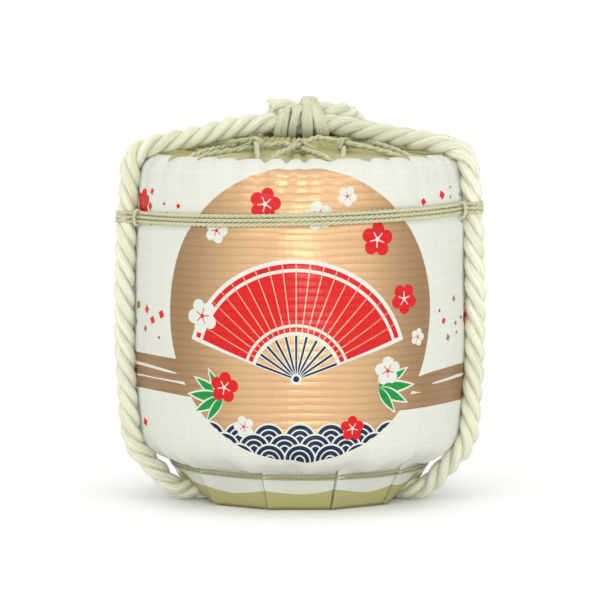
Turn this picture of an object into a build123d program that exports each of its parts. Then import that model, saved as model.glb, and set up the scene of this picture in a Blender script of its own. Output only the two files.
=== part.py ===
"""A straw-wrapped wooden sake barrel: cedar cask, straw mats, printed cover and its ropes (mm)."""

import os
from math import acos, asin, cos, degrees, hypot, pi, radians, sin, sqrt, tan

from build123d import *

# Outer shape of the wrapped barrel, measured on the printed cover
belly_radius = 190.0
belly_height = 217.0
belly_curve = 1400.0  # radius of the side's bow
bow_margin = 25.0  # side left straight between the bow and the nearer end of the side
shoulder_rise = 160.5  # from the belly to where side and top would meet without the rounding
shoulder_round = 20.0
dome_rise = 11.0  # from there to the point of the dome
eye_radius = 40.0  # gathered opening in the middle of the top
eye_depth = 4.0
bulge_height = 62.0  # where side and underside would meet without the rounding
bulge_round = 36.0
waist_inset = 47.0  # the neck above the skirt is drawn in this far from the belly
waist_height = 43.5
waist_round = 6.0
hem_inset = 24.0  # the skirt narrows this much from its neck to the floor
hem_lift = 1.0  # the hem ends just above the floor
cover_thickness = 1.5
layer_gap = 0.3

# Pleats of the skirt
pleat_count = 11
pleat_width = 9.0  # degrees round the skirt
pleat_height = 33.0
pleat_thickness = 1.2
pleat_bite = 0.8  # how far a pleat is let into the skirt

# Cedar cask inside the straw
stave_count = 18
stave_thickness = 12.0
stave_joint = 0.2
foot_overhang = 7.0  # the cask's foot is this much wider than the neck of the skirt
foot_rise = 14.5  # the cask's foot stands this far above the neck
rim_padding = 12.5  # straw between the staves' top and the shoulder
side_padding = 6.0  # straw outside the hoops at the top of the cask
hoop_thickness = 7.0
hoop_width = 18.0
hoop_shares = (0.03, 0.11, 0.325, 0.545, 0.765, 0.925)  # lower edges, as shares of the staves' height
groove_depth = 4.0
board_thickness = 14.0
board_count = 4
board_joint = 0.2
bottom_rise = 15.0
chime_depth = 30.0  # from the staves' top down to the head
head_clearance = 0.5
dowel_radius = 2.5
dowel_length = 30.0
dowel_fit = 0.15
dowel_spread = 60.0
bung_place = (38.0, -85.0)
bung_radius = 16.0
bung_taper = 2.0
bung_stand = 4.0
bung_tail = 2.0
vent_place = (-38.0, 85.0)
vent_radius = 4.0
vent_taper = 1.0
vent_stand = 4.0
vent_tail = 2.0
base_margin = 2.0  # straw base beyond the staves' foot

# Thick binding rope: two legs in front, one behind
rope_radius = 10.0
leg_azimuths = {"right": 72.0, "left": -72.0, "back": 155.0}  # from the front, towards +X
rope_top_slope = 9.8  # degrees
rope_lift = 0.8  # over the lacing
rope_shoulder_bend = 27.0
rope_run_angle = 48.8  # slope of the lower runs, degrees
rope_floor_gap = 0.5
rope_floor_bend = 24.0
rope_clearance = 0.4
under_offset = 12.0  # the rope turns under the base this far in front of its middle
under_bend = 100.0
tail_end = 26.0  # the tucked end stops this far from the turn

# Knot on top: the front legs' pass and, behind and above it, the back leg's end, wrapped round
pass_rise = 12.0
wrap_radius = 4.8
wrap_pitch = 11.5
wrap_turns = 4
stub_end = 36.0
knot_reach = 40.0
knot_right_bend = (42.0, 60.0)  # place along X and radius
knot_left_bend = (42.0, 60.0)
knot_back_bend = (51.0, 30.0)

# Thin cords
band_cord_radius = 2.0
band_height = 100.0  # above the belly
band_tilt = 4.4
band_pitch = 4.6
band_turns = 3
band_start = 84.0
band_fillet = 6.0
tie_cord_radius = 1.5
tie_pitch = 3.6
tie_turns = 2
tie_start = 150.0
lacing_radius = 2.2
lacing_inset = 40.0  # outer loops, in from the belly's radius
lacing_inner = 60.0
lacing_loops = 5
lacing_loop_angle = 5.0
lacing_first_loops = (2, 3)  # lower and upper, counted from the front to the right
lacing_bend = 7.0
lacing_gap = 0.3

os.makedirs("parts", exist_ok=True)


def export(name, shape):
    export_step(shape, f"parts/{name}.step")


def outward(azimuth):
    """Level direction at an azimuth: 0 is the front, 90 the right."""
    return Vector(sin(radians(azimuth)), -cos(radians(azimuth)), 0)


def sideways(azimuth):
    """Level direction of growing azimuth."""
    return Vector(cos(radians(azimuth)), sin(radians(azimuth)), 0)


def placed(azimuth, r, z):
    return outward(azimuth) * r + Vector(0, 0, z)


def parallel(points, bends, distance):
    """Shift an outline outwards. Bends grow with it, hollow (negative) ones shrink."""
    normals = []
    for (r0, z0), (r1, z1) in zip(points, points[1:]):
        length = hypot(r1 - r0, z1 - z0)
        normals.append(((z0 - z1) / length, (r1 - r0) / length))
    moved = []
    for i, (r, z) in enumerate(points):
        before = normals[max(i - 1, 0)]
        after = normals[min(i, len(normals) - 1)]
        share = distance / (1 + before[0] * after[0] + before[1] * after[1])
        moved.append((r + share * (before[0] + after[0]), z + share * (before[1] + after[1])))
    return moved, [bend + distance for bend in bends]


def outline(points, bends):
    """Rounded half outline in the XZ plane."""
    return FilletPolyline(*[(r, 0, z) for r, z in points], radius=[abs(bend) for bend in bends])


def half_section(*points):
    """Straight-sided half section in the XZ plane."""
    return make_face(Polyline(*[(r, 0, z) for r, z in points], close=True))


def turned(face, start=0, arc=360):
    return revolve(Rot(0, 0, start) * face, Axis.Z, arc)


def disc(radius, low, high):
    return Pos(0, 0, low) * Cylinder(
        radius, high - low, align=(Align.CENTER, Align.CENTER, Align.MIN)
    )


def tube(path, radius):
    return sweep((path ^ 0) * Circle(radius), path=path)


def arc_or_line(start, way, end):
    if way.cross(end - start).length < 1e-7 * (end - start).length:
        return Line(start, end)
    return TangentArc(start, end, tangent=way)


def biarc(start, start_way, end, end_way):
    """Two tangent arcs from one point and direction to another."""
    chord = end - start
    along = chord.dot(start_way + end_way)
    turn = 1 - start_way.dot(end_way)
    reach = chord.dot(chord) / (along + sqrt(along**2 + 2 * turn * chord.dot(chord)))
    first_corner = start + start_way * reach
    last_corner = end - end_way * reach
    joint = (first_corner + last_corner) * 0.5
    joint_way = (last_corner - first_corner).normalized()
    return [arc_or_line(start, start_way, joint), arc_or_line(joint, joint_way, end)]


def wound(stations):
    """One unbroken path through points with directions."""
    edges = []
    for (start, start_way), (end, end_way) in zip(stations, stations[1:]):
        edges += biarc(start, start_way.normalized(), end, end_way.normalized())
    return Wire(edges)


def cord_report(name, path, solid, radius, step):
    """Print a cord's length, volume share and least gap between its own turns."""
    length = path.length
    count = int(length / step)
    points = [path @ (i / count) for i in range(count + 1)]
    apart = int(pi * 2 * radius / step) + 1
    least = min(
        ((p - q).length for i, p in enumerate(points) for q in points[i + apart :]),
        default=length,
    )
    share = solid.volume / (pi * radius**2 * length)
    print(f"{name}: length {length:.1f}, volume share {share:.4f}, own gap {least - 2 * radius:.2f}")


# Outline of the cover, from the eye of the dome to the hem
shoulder_height = belly_height + shoulder_rise
dome_height = shoulder_height + dome_rise
waist_radius = belly_radius - waist_inset
hem_radius = waist_radius - hem_inset
belly_reach = min(shoulder_rise, belly_height - bulge_height) - bow_margin
lean = asin(belly_reach / belly_curve)
belly_corner = belly_radius + belly_curve * (1 / cos(lean) - 1)


def side_line(z):
    """Radius of the straight line that the side's bow runs out into."""
    return belly_corner - abs(z - belly_height) * tan(lean)


def side_radius(z):
    """Radius of the bowed side."""
    return belly_radius - belly_curve + sqrt(belly_curve**2 - (z - belly_height) ** 2)


shoulder_radius = side_line(shoulder_height)
dome_slope = (dome_height - shoulder_height) / shoulder_radius


def dome_at(r):
    return dome_height - dome_slope * r


def skirt_at(z):
    return hem_radius + (waist_radius - hem_radius) * z / waist_height


cover_points = [
    (eye_radius, dome_at(eye_radius)),
    (shoulder_radius, shoulder_height),
    (belly_corner, belly_height),
    (side_line(bulge_height), bulge_height),
    (waist_radius, waist_height),
    (skirt_at(hem_lift), hem_lift),
]
cover_bends = [shoulder_round, belly_curve, bulge_round, -waist_round]

# Thick rope: each leg goes over the shoulder, down the side and in under the base
rope_offset = rope_radius + layer_gap
lacing_outer = belly_radius - lacing_inset
lacing_step = 360 / lacing_loops
crossing_turn = lacing_step / 4  # from a crossing to the loops beside it
loop_turn = radians(crossing_turn - lacing_loop_angle / 2)
corner_turn = radians(crossing_turn)
corner_aside = lacing_inner * sin(corner_turn)
crossing_share = corner_aside / (corner_aside + lacing_outer * sin(loop_turn))
lacing_middle = (
    lacing_inner * cos(corner_turn) * (1 - crossing_share) + lacing_outer * cos(loop_turn) * crossing_share
)
lacing_stack = lacing_gap * 2 + lacing_radius * 4
rope_over_lacing = dome_at(lacing_middle) + lacing_stack + rope_lift + rope_radius
top_fall = tan(radians(rope_top_slope))
knot_height = rope_over_lacing + top_fall * (lacing_middle - knot_reach)
rope_floor = rope_radius + rope_floor_gap


def meet(p, p_way, q, q_way):
    """Where two lines in the half plane cross."""
    across = p_way[0] * q_way[1] - p_way[1] * q_way[0]
    along = ((q[0] - p[0]) * q_way[1] - (q[1] - p[1]) * q_way[0]) / across
    return (p[0] + along * p_way[0], p[1] + along * p_way[1])


side_points, side_bends = parallel(cover_points, cover_bends, rope_offset)
belly_point = side_points[2]
rise_way = (-tan(lean), 1.0)
fall_way = (-tan(lean), -1.0)
run_way = (-cos(radians(rope_run_angle)), -sin(radians(rope_run_angle)))
bulge_middle = parallel(cover_points, cover_bends, -bulge_round)[0][3]
run_normal = (-run_way[1], run_way[0])
run_point = (
    bulge_middle[0] + run_normal[0] * (bulge_round + rope_offset),
    bulge_middle[1] + run_normal[1] * (bulge_round + rope_offset),
)
rope_shoulder = meet(belly_point, rise_way, (lacing_middle, rope_over_lacing), (1.0, -top_fall))
rope_bulge = meet(belly_point, fall_way, run_point, run_way)
rope_corner = meet(run_point, run_way, (0.0, rope_floor), (1.0, 0.0))
under_middle = Vector(0, -under_offset, rope_floor)
leg_profile = [rope_shoulder, belly_point, rope_bulge, rope_corner]
leg_bends = [rope_shoulder_bend, side_bends[1], side_bends[2], rope_floor_bend]


def leg(side):
    return [placed(leg_azimuths[side], r, z) for r, z in leg_profile]


right_corner = leg("right")[-1]
tail = under_middle + (right_corner - under_middle).normalized() * tail_end
pass_tilt = asin(pass_rise / 2 / rope_offset)
pass_aside = rope_offset * cos(pass_tilt)
back_pass = knot_height + pass_rise
rope_points = [
    Vector(-stub_end, pass_aside, back_pass),
    Vector(knot_back_bend[0], pass_aside, back_pass),
    *leg("back"),
    under_middle,
    *reversed(leg("left")),
    Vector(-knot_left_bend[0], -pass_aside, knot_height),
    Vector(knot_right_bend[0], -pass_aside, knot_height),
    *leg("right"),
    tail,
]
rope_bends = [
    knot_back_bend[1],
    *leg_bends,
    under_bend,
    *reversed(leg_bends),
    knot_left_bend[1],
    knot_right_bend[1],
    *leg_bends,
]
rope_path = FilletPolyline(*rope_points, radius=rope_bends)
binding_rope = tube(rope_path, rope_radius)
export("binding_rope", binding_rope)
cord_report("binding_rope", rope_path, binding_rope, rope_radius, 6.0)


def rope_channel(points, bends):
    """Spaces that the rope takes through skirt and straw base: its run, and a slot to the floor."""
    run = tube(FilletPolyline(*points, radius=bends), rope_radius + rope_clearance)
    level = [point for point in points if abs(point.Z - rope_floor) < layer_gap]
    floor_line = FilletPolyline(*level, radius=bends[1:-1]) if bends[1:-1] else Line(*level)
    floor_width = 2 * rope_radius + rope_clearance
    slot = extrude(trace(floor_line, floor_width), rope_floor + hem_lift, dir=(0, 0, -1))
    return [run, slot]


through_route = [*leg("back")[2:], under_middle, *reversed(leg("left")[2:])]
tail_route = [*leg("right")[2:], under_middle]
channels = [
    *rope_channel(through_route, [rope_floor_bend, under_bend, rope_floor_bend]),
    *rope_channel(tail_route, [rope_floor_bend]),
]

# Printed cover: one sheet from the eye of the dome to the pleated skirt
outer_edge = outline(cover_points, cover_bends)
inner_edge = outline(*parallel(cover_points, cover_bends, -cover_thickness))
cover_section = make_face(
    [
        *outer_edge.edges(),
        *inner_edge.edges(),
        Line(outer_edge @ 0, inner_edge @ 0),
        Line(outer_edge @ 1, inner_edge @ 1),
    ]
)
printed_cover = turned(cover_section)
pleat_section = half_section(
    (skirt_at(hem_lift) - pleat_bite, hem_lift),
    (skirt_at(hem_lift) + pleat_thickness, hem_lift),
    (skirt_at(pleat_height) + pleat_thickness, pleat_height),
    (skirt_at(pleat_height) - pleat_bite, pleat_height),
)
pleat_step = 360 / pleat_count
for i in range(pleat_count):
    pleat_azimuth = (i + 0.5) * pleat_step
    printed_cover += turned(pleat_section, pleat_azimuth - 90 - pleat_width / 2, pleat_width)
for channel in channels:
    printed_cover -= channel
export("printed_cover", printed_cover)

# Cask lines: the staves taper from the rim to the foot
foot_z = waist_height + foot_rise
rim_z = shoulder_height - rim_padding
foot_r = waist_radius + foot_overhang
inside_cover = cover_thickness + layer_gap
rim_r = side_line(rim_z) - inside_cover - side_padding - hoop_thickness - 2 * layer_gap


def stave_line(z):
    """Outer radius of the staves."""
    return foot_r + (rim_r - foot_r) * (z - foot_z) / (rim_z - foot_z)


def wall_line(z):
    """Inner radius of the staves."""
    return stave_line(z) - stave_thickness


def groove_line(z):
    """Radius at the bottom of the grooves that hold the boards."""
    return wall_line(z) + groove_depth


# Straw filling, cut into a top, side and base mat
straw_points, straw_bends = parallel(cover_points, cover_bends, -inside_cover)
straw_edge = outline(straw_points, straw_bends)
straw_start, straw_end = straw_points[0], straw_points[-1]
eye_floor = straw_start[1] - eye_depth
straw_rest = Polyline(
    (straw_end[0], 0, straw_end[1]),
    (straw_end[0], 0, 0),
    (0, 0, 0),
    (0, 0, eye_floor),
    (straw_start[0], 0, eye_floor),
    (straw_start[0], 0, straw_start[1]),
)
straw = turned(make_face([*straw_edge.edges(), *straw_rest.edges()]))
wide = 2 * belly_radius
base_r = foot_r + base_margin
hoop_line_gap = hoop_thickness + 2 * layer_gap
cask_space = turned(
    half_section(
        (0, 0),
        (base_r + layer_gap, 0),
        (base_r + layer_gap, foot_z),
        (stave_line(foot_z) + hoop_line_gap, foot_z),
        (stave_line(rim_z) + hoop_line_gap, rim_z),
        (0, rim_z),
    )
)
top_mat = straw - disc(wide, 0, rim_z + layer_gap)
export("top_mat", top_mat)
side_mat = straw - cask_space - disc(wide, rim_z, dome_height)
export("side_mat", side_mat)
base_mat = straw & disc(base_r, 0, foot_z - layer_gap)
for channel in channels:
    base_mat -= channel
export("base_mat", base_mat)

# Staves with a groove for the bottom and a ledge for the head
bottom_low = foot_z + bottom_rise
bottom_high = bottom_low + board_thickness
groove_low = bottom_low - layer_gap
groove_high = bottom_high + layer_gap
head_high = rim_z - chime_depth
head_low = head_high - board_thickness
ledge = head_low - layer_gap
stave_section = half_section(
    (stave_line(foot_z), foot_z),
    (stave_line(rim_z), rim_z),
    (groove_line(rim_z), rim_z),
    (groove_line(ledge), ledge),
    (wall_line(ledge), ledge),
    (wall_line(groove_high), groove_high),
    (groove_line(groove_high), groove_high),
    (groove_line(groove_low), groove_low),
    (wall_line(groove_low), groove_low),
    (wall_line(foot_z), foot_z),
)
stave_step = 360 / stave_count
stave_arc = stave_step - degrees(stave_joint / foot_r)
for i in range(stave_count):
    export(f"stave_{i + 1:02d}", turned(stave_section, i * stave_step, stave_arc))

# Bamboo hoops
for i, share in enumerate(hoop_shares):
    low = foot_z + share * (rim_z - foot_z)
    high = low + hoop_width
    hoop_section = half_section(
        (stave_line(low) + layer_gap, low),
        (stave_line(low) + layer_gap + hoop_thickness, low),
        (stave_line(high) + layer_gap + hoop_thickness, high),
        (stave_line(high) + layer_gap, high),
    )
    export(f"hoop_{i + 1}", turned(hoop_section))


def lid_boards(low, edge_gap):
    """Round lid of edge-joined boards, with the dowels between them."""
    high = low + board_thickness
    round_lid = turned(
        half_section(
            (0, low),
            (groove_line(low) - edge_gap, low),
            (groove_line(high) - edge_gap, high),
            (0, high),
        )
    )
    radius = groove_line(high) - edge_gap
    width = 2 * radius / board_count
    dowels = []
    for joint in range(1, board_count):
        for y in (-dowel_spread, dowel_spread):
            place = Pos(joint * width - radius, y, low + board_thickness / 2) * Rot(0, 90, 0)
            dowels.append(place * Cylinder(dowel_radius, dowel_length))
            round_lid -= place * Cylinder(
                dowel_radius + dowel_fit, dowel_length + 2 * layer_gap
            )
    boards = []
    for i in range(board_count):
        strip = Pos((i + 0.5) * width - radius, 0, low + board_thickness / 2) * Box(
            width - board_joint, 2 * wide, 2 * board_thickness
        )
        boards.append(round_lid & strip)
    return boards, dowels


def plug(place, radius, taper, stand, tail_length, ease=0.0):
    """Tapered peg through the head; ease widens it into its hole."""
    length = stand + board_thickness + tail_length
    return Pos(place[0], place[1], head_low - tail_length) * Cone(
        radius - taper + ease,
        radius + ease,
        length,
        align=(Align.CENTER, Align.CENTER, Align.MIN),
    )


bottom_boards, bottom_dowels = lid_boards(bottom_low, layer_gap)
for i, board in enumerate(bottom_boards):
    export(f"bottom_board_{i + 1}", board)
export("bottom_dowels", Compound(children=bottom_dowels))

head_boards, head_dowels = lid_boards(head_low, head_clearance)
bung = (bung_place, bung_radius, bung_taper, bung_stand, bung_tail)
vent = (vent_place, vent_radius, vent_taper, vent_stand, vent_tail)
for i, board in enumerate(head_boards):
    board -= plug(*bung, layer_gap)
    board -= plug(*vent, layer_gap)
    export(f"head_board_{i + 1}", board)
export("head_dowels", Compound(children=head_dowels))
export("bung", plug(*bung))
export("vent_peg", plug(*vent))

# Knot: a cord wound round the two rope passes
wrap_offset = rope_radius + layer_gap + wrap_radius
quarter = pi * wrap_offset / 2
wrap_length = 4 * quarter + 4 * rope_offset
wrap_slope = wrap_pitch / wrap_length
wrap_steps = [
    (rope_offset, -wrap_offset, 1, 0, 0.0),
    (rope_offset + wrap_offset, 0, 0, 1, quarter),
    (rope_offset, wrap_offset, -1, 0, 2 * quarter),
    (-rope_offset, wrap_offset, -1, 0, 2 * quarter + 2 * rope_offset),
    (-rope_offset - wrap_offset, 0, 0, -1, 3 * quarter + 2 * rope_offset),
    (-rope_offset, -wrap_offset, 1, 0, 4 * quarter + 2 * rope_offset),
]


def tilted(x, y, z):
    """Turn a direction with the slant of the two passes."""
    return Vector(x, y, z).rotate(Axis.X, degrees(pass_tilt))


knot_middle = Vector(0, 0, knot_height + pass_rise / 2)
wrap_begin = -wrap_turns * wrap_pitch / 2
wrap_stations = []
for turn in range(wrap_turns):
    for y, z, y_way, z_way, along in wrap_steps:
        x = wrap_begin + wrap_slope * (along + turn * wrap_length)
        wrap_stations.append(
            (knot_middle + tilted(x, y, z), tilted(wrap_slope, y_way, z_way))
        )
first_point, first_way = wrap_stations[0]
last_point, last_way = wrap_stations[-1]
wrap_stations.insert(0, (first_point - first_way * 2 * wrap_radius, first_way))
wrap_stations.append((last_point + last_way * 2 * wrap_radius, last_way))
wrap_path = wound(wrap_stations)
knot_winding = tube(wrap_path, wrap_radius)
export("knot_winding", knot_winding)
cord_report("knot_winding", wrap_path, knot_winding, wrap_radius, 1.5)

# Band of thin cord: three turns round the body, drawn in close beside each leg of the rope
band_offset = layer_gap + band_cord_radius
band_over_rope = rope_radius + 2 * layer_gap + band_cord_radius


def band_z(azimuth):
    turns_done = (azimuth - band_start) / 360
    return (
        belly_height
        + band_height
        + band_tilt * sin(radians(azimuth))
        + band_pitch * (turns_done - band_turns / 2)
    )


def band_on_body(azimuth):
    z = band_z(azimuth)
    return placed(azimuth, side_radius(z) + band_offset, z)


def band_way(azimuth):
    return band_on_body(azimuth + 0.05) - band_on_body(azimuth - 0.05)


def band_crossing(azimuth):
    """Stations where the band goes over a leg of the rope, and the angle it takes."""
    z = band_z(azimuth)
    body = side_radius(z) + band_offset
    middle = side_radius(z) + rope_offset
    across = band_over_rope + band_fillet
    outer = body + band_fillet
    half_angle = degrees(acos((middle**2 + outer**2 - across**2) / (2 * middle * outer)))
    rope_middle = placed(azimuth, middle, z)
    stations = []
    for side in (-1, 1):
        fillet_middle = placed(azimuth + side * half_angle, outer, z)
        away = (fillet_middle - rope_middle).normalized()
        on_rope = rope_middle + away * band_over_rope
        stations.append((on_rope, away.cross(Vector(0, 0, -1))))
    over = (rope_middle + outward(azimuth) * band_over_rope, sideways(azimuth))
    return half_angle, [stations[0], over, stations[1]]


crossings = []
for turn in range(-1, band_turns + 2):
    crossings += [azimuth + 360 * turn for azimuth in leg_azimuths.values()]
band_end = band_start + 360 * band_turns
band_stations = [(band_on_body(band_start), band_way(band_start))]
reached = band_start
for azimuth in sorted(a for a in crossings if band_start < a < band_end):
    half_angle, over_rope = band_crossing(azimuth)
    span = azimuth - half_angle - reached
    parts = int(span / 45) + 1
    for i in range(1, parts + 1):
        place = reached + span * i / parts
        band_stations.append((band_on_body(place), band_way(place)))
    band_stations += over_rope
    reached = azimuth + half_angle
    band_stations.append((band_on_body(reached), band_way(reached)))
band_stations.append((band_on_body(band_end), band_way(band_end)))
band_path = wound(band_stations)
band_cord = tube(band_path, band_cord_radius)
export("band_cord", band_cord)
cord_report("band_cord", band_path, band_cord, band_cord_radius, 3.0)

# Tie cord in the neck above the skirt
neck_points = parallel(cover_points, cover_bends, layer_gap + tie_cord_radius)[0]
neck_r, neck_z = neck_points[4]
neck_slack = waist_round * (1 / cos(radians(30)) - 1)


def tie_at(azimuth):
    z = neck_z - tie_pitch * (azimuth - tie_start) / 360
    return placed(azimuth, neck_r + neck_slack + skirt_at(z) - skirt_at(neck_z), z)


tie_stations = []
for i in range(4 * tie_turns + 1):
    azimuth = tie_start + 90 * i
    tie_stations.append((tie_at(azimuth), tie_at(azimuth + 0.05) - tie_at(azimuth - 0.05)))
tie_path = wound(tie_stations)
tie_cord = tube(tie_path, tie_cord_radius)
export("tie_cord", tie_cord)
cord_report("tie_cord", tie_path, tie_cord, tie_cord_radius, 3.0)


# Lacing: two zigzag cords crossing on the dome, one over the other, with a crossing in front
lower_lift = lacing_gap + lacing_radius
crossing_lift = lower_lift + lacing_gap + 2 * lacing_radius
upper_lift = (crossing_lift - lower_lift * crossing_share) / (1 - crossing_share)


def lacing(name, first_loop, corner_lift):
    """Zigzag from inner corners, lifted off the dome, out to loops that lie on it."""
    points = []
    for i in range(lacing_loops):
        azimuth = first_loop + i * lacing_step
        points += [
            placed(azimuth - lacing_step / 2, lacing_inner, dome_at(lacing_inner) + corner_lift),
            placed(azimuth - lacing_loop_angle / 2, lacing_outer, dome_at(lacing_outer) + lower_lift),
            placed(azimuth + lacing_loop_angle / 2, lacing_outer, dome_at(lacing_outer) + lower_lift),
        ]
    path = FilletPolyline(*points, radius=[lacing_bend] * (len(points) - 2))
    cord = tube(path, lacing_radius)
    export(name, cord)
    cord_report(name, path, cord, lacing_radius, 3.0)


lacing("lower_lacing", lacing_first_loops[0] * lacing_step + crossing_turn, lower_lift)
lacing("upper_lacing", lacing_first_loops[1] * lacing_step - crossing_turn, upper_lift)
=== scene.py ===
import math
import random

import bmesh
import bpy
import numpy as np
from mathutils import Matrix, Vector, geometry, kdtree


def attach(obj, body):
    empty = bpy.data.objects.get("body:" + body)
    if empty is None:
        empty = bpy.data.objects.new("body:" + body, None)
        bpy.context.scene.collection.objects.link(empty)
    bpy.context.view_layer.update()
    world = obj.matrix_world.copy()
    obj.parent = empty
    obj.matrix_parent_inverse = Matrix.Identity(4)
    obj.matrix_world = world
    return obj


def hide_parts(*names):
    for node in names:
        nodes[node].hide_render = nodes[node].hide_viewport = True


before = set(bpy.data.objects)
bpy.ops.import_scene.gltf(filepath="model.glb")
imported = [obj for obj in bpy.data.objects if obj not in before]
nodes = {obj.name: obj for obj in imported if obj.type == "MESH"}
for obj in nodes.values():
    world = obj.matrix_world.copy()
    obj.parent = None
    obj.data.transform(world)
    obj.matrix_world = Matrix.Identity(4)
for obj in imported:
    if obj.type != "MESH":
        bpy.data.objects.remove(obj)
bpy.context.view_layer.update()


# Staves: eighteen boards of Japanese cedar, split, planed to a taper and stood edge to edge.
# The wood is left unfinished, and the hoops alone hold it together.
def linear(code):
    """sRGB hex to linear RGBA."""
    parts = [int(code[i : i + 2], 16) / 255 for i in (1, 3, 5)]
    return (*[c / 12.92 if c <= 0.04045 else ((c + 0.055) / 1.055) ** 2.4 for c in parts], 1.0)


def plug(tree, node, sockets):
    """Give a node's sockets their values, or their links from other nodes."""
    for name, value in sockets.items():
        if isinstance(value, bpy.types.Node):
            value = value.outputs[0]
        if isinstance(value, bpy.types.NodeSocket):
            tree.links.new(value, node.inputs[name])
        else:
            node.inputs[name].default_value = value


def add(tree, kind, sockets=None, **settings):
    """Add a shader node with its settings, and values or links for its sockets."""
    made = tree.nodes.new("ShaderNode" + kind)
    for name, value in settings.items():
        setattr(made, name, value)
    plug(tree, made, sockets or {})
    return made


def new_material(name):
    material = bpy.data.materials.new(name)
    material.use_nodes = True
    return material, material.node_tree, material.node_tree.nodes["Principled BSDF"]


def dress(names, material):
    for name in names:
        nodes[name].data.materials.clear()
        nodes[name].data.materials.append(material)


def planed_cedar(name, grain_axis):
    """Matt pink-brown wood, with close darker growth lines 3 mm apart that run along the board."""
    material, tree, shader = new_material(name)
    place = add(tree, "TexCoord")
    noises = []
    for gap, length, detail in [(0.003, 0.25, 3.0), (0.05, 0.6, 2.0)]:
        scale = [1 / gap] * 3
        scale[grain_axis] = 1 / length
        at = add(tree, "Mapping", {"Vector": place.outputs["Object"], "Scale": scale})
        noises.append(add(tree, "TexNoise", {"Vector": at, "Scale": 1.0, "Detail": detail}))
    lines, tone = noises
    wood = add(tree, "Mix", {0: tone, 6: linear("#C9905F"), 7: linear("#E2BC8E")}, data_type="RGBA")
    dark = add(tree, "MapRange", {0: lines, 1: 0.5, 2: 0.75, 3: 0.0, 4: 0.55})
    grain = add(tree, "Mix", {0: dark, 6: wood.outputs[2], 7: linear("#8E5A38")}, data_type="RGBA")
    relief = add(tree, "Bump", {"Height": lines, "Strength": 0.25, "Distance": 0.0004})
    plug(tree, shader, {"Base Color": grain.outputs[2], "Normal": relief, "Roughness": 0.62})
    return material


dress([n for n in nodes if n.startswith("stave_")], planed_cedar("planed_cedar_upright", 2))

# Hoops: six rings of split bamboo driven down over the taper of the staves.
# Dry bamboo, straw yellow with fibres 1.2 mm wide and 40 mm long, its skin a little glossy.
fibre_width, fibre_length = 0.0012, 0.04
bamboo, tree, shader = new_material("split_bamboo")
place = add(tree, "TexCoord")
fibre_scale = (1 / fibre_length, 1 / fibre_length, 1 / fibre_width)
fibres_at = add(tree, "Mapping", {"Vector": place.outputs["Object"], "Scale": fibre_scale})
fibres = add(tree, "TexNoise", {"Vector": fibres_at, "Scale": 1.0, "Detail": 3.0})
skin = add(tree, "Mix", {0: fibres, 6: linear("#A88F4E"), 7: linear("#DCCB8A")}, data_type="RGBA")
relief = add(tree, "Bump", {"Height": fibres, "Strength": 0.35, "Distance": 0.0005})
plug(tree, shader, {"Base Color": skin.outputs[2], "Normal": relief, "Roughness": 0.42})
dress([n for n in nodes if n.startswith("hoop_")], bamboo)

# Bottom and head: edge-joined cedar boards held by bamboo dowels, let into the staves.
# The head has a tapered cedar bung for filling and a small bamboo peg that lets in air.
boards = [n for n in nodes if n.startswith(("bottom_board_", "head_board_"))]
dress(boards, planed_cedar("planed_cedar_boards", 1))
dress(["bung"], planed_cedar("turned_cedar_bung", 2))
dress(["bottom_dowels", "head_dowels", "vent_peg"], bamboo)

# Straw mats: a padding of rice straw round the cask, a round lid of straw on top and a
# round foot of packed straw below, each beaten flat and shaped by hand.
straw, tree, shader = new_material("rice_straw")
place = add(tree, "TexCoord")
# Straws 3 mm thick lie every way in the mat, so three sets of long streaks are mixed.
straw_width, straw_length, straw_end = 0.003, 0.05, 0.03
streaks = []
for i, sizes in enumerate([
    (straw_width, straw_length, straw_length),
    (straw_length, straw_width, straw_length),
    (straw_end, straw_end, straw_width),
]):
    scale = [1 / size for size in sizes]
    lie = {"Vector": place.outputs["Object"], "Scale": scale, "Rotation": (0, 0, 0.5 * i)}
    at = add(tree, "Mapping", lie)
    streaks.append(add(tree, "TexNoise", {"Vector": at, "Scale": 1.0, "Detail": 3.0}))
laid_straw = streaks[0]
for streak in streaks[1:]:
    laid_straw = add(tree, "Math", {0: laid_straw, 1: streak}, operation="MAXIMUM")
depth = add(tree, "MapRange", {0: laid_straw, 1: 0.42, 2: 0.72, 3: 0.0, 4: 1.0})
colour = add(tree, "Mix", {0: depth, 6: linear("#7C6A3C"), 7: linear("#D8C793")}, data_type="RGBA")
relief = add(tree, "Bump", {"Height": depth, "Strength": 0.8, "Distance": 0.002})
plug(tree, shader, {"Base Color": colour.outputs[2], "Normal": relief, "Roughness": 0.7})


def put(name, data):
    """Put an object in the scene."""
    made = bpy.data.objects.new(name, data)
    bpy.context.scene.collection.objects.link(made)
    return made


def turned(name, half_outline, steps=120):
    """Turn a half outline of (radius, height) in mm round the barrel's axis."""
    form = bmesh.new()
    ring = [form.verts.new((0, -r / 1000, z / 1000)) for r, z in half_outline]
    edges = [form.edges.new(pair) for pair in zip(ring, ring[1:])]
    bmesh.ops.spin(
        form,
        geom=ring + edges,
        axis=(0, 0, 1),
        cent=(0, 0, 0),
        angle=2 * math.pi,
        steps=steps,
        use_merge=True,
    )
    bmesh.ops.remove_doubles(form, verts=form.verts, dist=1e-5)
    bmesh.ops.recalc_face_normals(form, faces=form.faces)
    mesh = bpy.data.meshes.new(name)
    form.to_mesh(mesh)
    form.free()
    return put(name, mesh)


def straw_mat(piece, node):
    piece.data.materials.append(straw)
    piece.data.polygons.foreach_set("use_smooth", [True] * len(piece.data.polygons))
    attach(piece, "barrel")
    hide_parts(node)


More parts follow.
